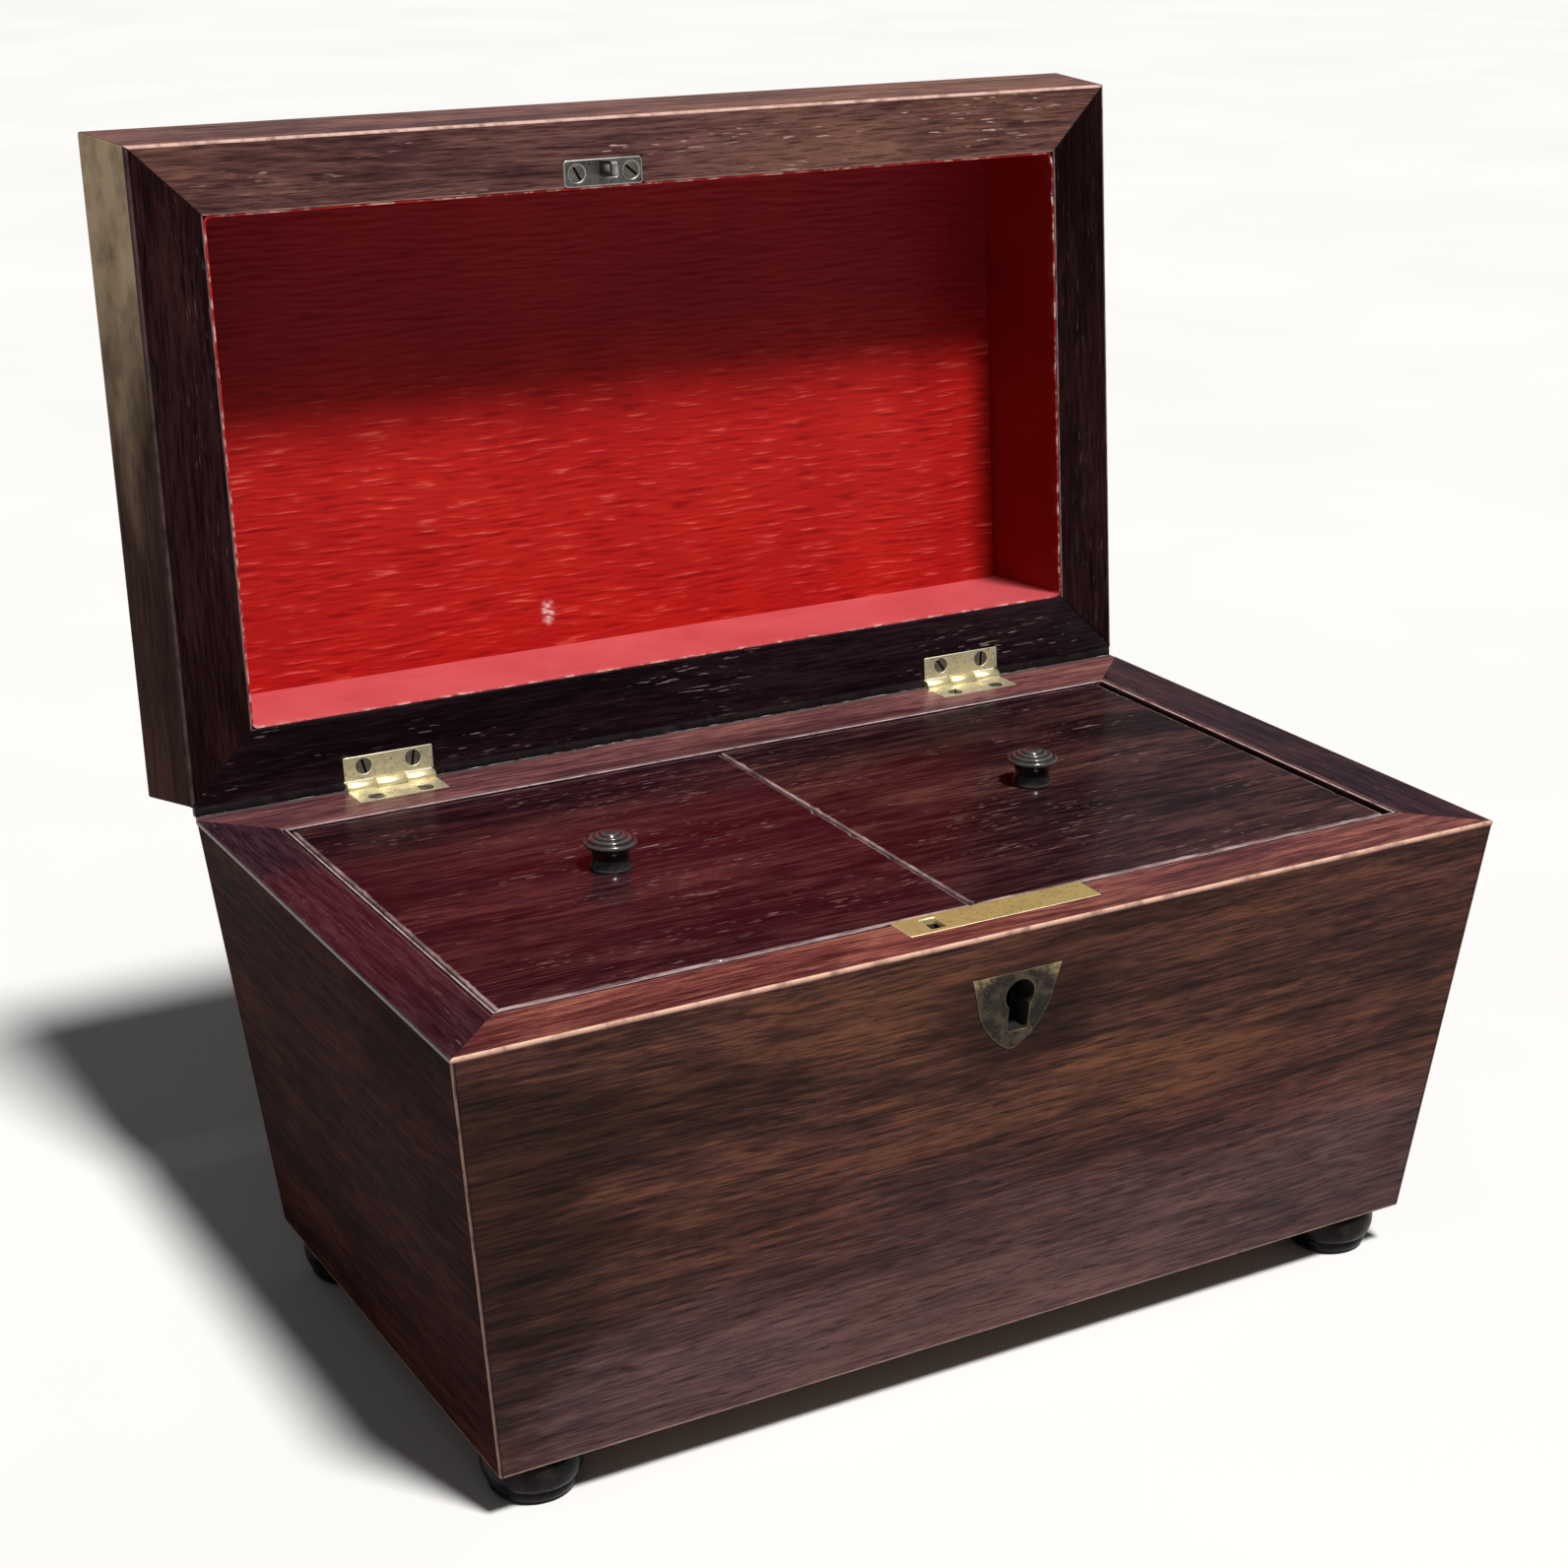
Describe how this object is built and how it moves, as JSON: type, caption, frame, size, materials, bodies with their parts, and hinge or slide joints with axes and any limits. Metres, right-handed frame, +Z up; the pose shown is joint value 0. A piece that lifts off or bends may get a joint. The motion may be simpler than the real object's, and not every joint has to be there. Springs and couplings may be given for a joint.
{
  "type": "tea caddy",
  "caption": "Rosewood sarcophagus tea caddy with tapering sides, hinged lid, two lift-out inner lids with turned knobs, a lock and bun feet.",
  "frame": {"origin": "centre of the floor area under the four feet", "axes": "+X to the caddy's right, +Y to its back, +Z up; the lid stands open behind the body"},
  "size_m": [0.2452, 0.187, 0.2449],
  "materials": {
    "carcass_wood": "plain planed wood",
    "rosewood": "french-polished veneer",
    "rosewood_polished": "glossy polished veneer",
    "ebonised_wood": "black gloss",
    "red_paper": "crinkled",
    "foil": "dull foil",
    "hinge_brass": "worn",
    "plate_brass": "dull, brushed",
    "tarnished_brass": "tarnished",
    "steel": "aged",
    "keeper_steel": "tarnished"
  },
  "bodies": {
    "caddy_body": {"back_board": "carcass_wood", "back_veneer": "rosewood", "bead_strips": "rosewood_polished", "bottom_board": "carcass_wood", "divider": "carcass_wood", "escutcheon": "tarnished_brass", "foil_linings": "foil", "foot_back_left": "ebonised_wood", "foot_back_right": "ebonised_wood", "foot_front_left": "ebonised_wood", "foot_front_right": "ebonised_wood", "front_board": "carcass_wood", "front_veneer": "rosewood", "hinge_body_screws": "steel", "hinge_left_body_leaf": "hinge_brass", "hinge_pins": "steel", "hinge_right_body_leaf": "hinge_brass", "left_board": "carcass_wood", "left_veneer": "rosewood", "lock_cap": "steel", "lock_case": "steel", "lock_drill_pin": "steel", "lock_plate": "plate_brass", "lock_spring": "steel", "right_board": "carcass_wood", "right_veneer": "rosewood", "rim_back": "rosewood_polished", "rim_front": "rosewood_polished", "rim_left": "rosewood_polished", "rim_right": "rosewood_polished", "well_boards": "carcass_wood"},
    "lid": {"hinge_left_lid_leaf": "hinge_brass", "hinge_lid_screws": "steel", "hinge_right_lid_leaf": "hinge_brass", "keeper": "keeper_steel", "keeper_screws": "steel", "lid_back_board": "carcass_wood", "lid_back_veneer": "rosewood", "lid_front_board": "carcass_wood", "lid_front_veneer": "rosewood", "lid_left_board": "carcass_wood", "lid_left_veneer": "rosewood", "lid_lining_panel": "red_paper", "lid_lining_sides": "red_paper", "lid_right_board": "carcass_wood", "lid_right_veneer": "rosewood", "lid_rim_back": "rosewood_polished", "lid_rim_front": "rosewood_polished", "lid_rim_left": "rosewood_polished", "lid_rim_right": "rosewood_polished", "lid_roof_veneers": "rosewood", "lid_top_board": "carcass_wood", "lid_top_veneer": "rosewood"},
    "inner_lid_left": {"inner_lid_left_board": "carcass_wood", "inner_lid_left_veneer": "rosewood_polished", "knob_left": "ebonised_wood"},
    "inner_lid_right": {"inner_lid_right_board": "carcass_wood", "inner_lid_right_veneer": "rosewood_polished", "knob_right": "ebonised_wood"},
    "lock_bolt": {"lock_bolt": "steel"}
  },
  "joints": [
    {"name": "lid_hinge", "type": "hinge", "parent": "caddy_body", "child": "lid", "pos_m": [0, 0.0714, 0.104], "axis": [-1, 0, 0], "range_deg": [-94.5, 0]},
    {"name": "inner_lid_left_lift", "type": "slide", "parent": "caddy_body", "child": "inner_lid_left", "axis": [0, 0, 1], "range_m": [0, 0.02]},
    {"name": "inner_lid_right_lift", "type": "slide", "parent": "caddy_body", "child": "inner_lid_right", "axis": [0, 0, 1], "range_m": [0, 0.02]},
    {"name": "lock_bolt_slide", "type": "slide", "parent": "caddy_body", "child": "lock_bolt", "axis": [-1, 0, 0], "range_m": [0, 0.005]}
  ]
}
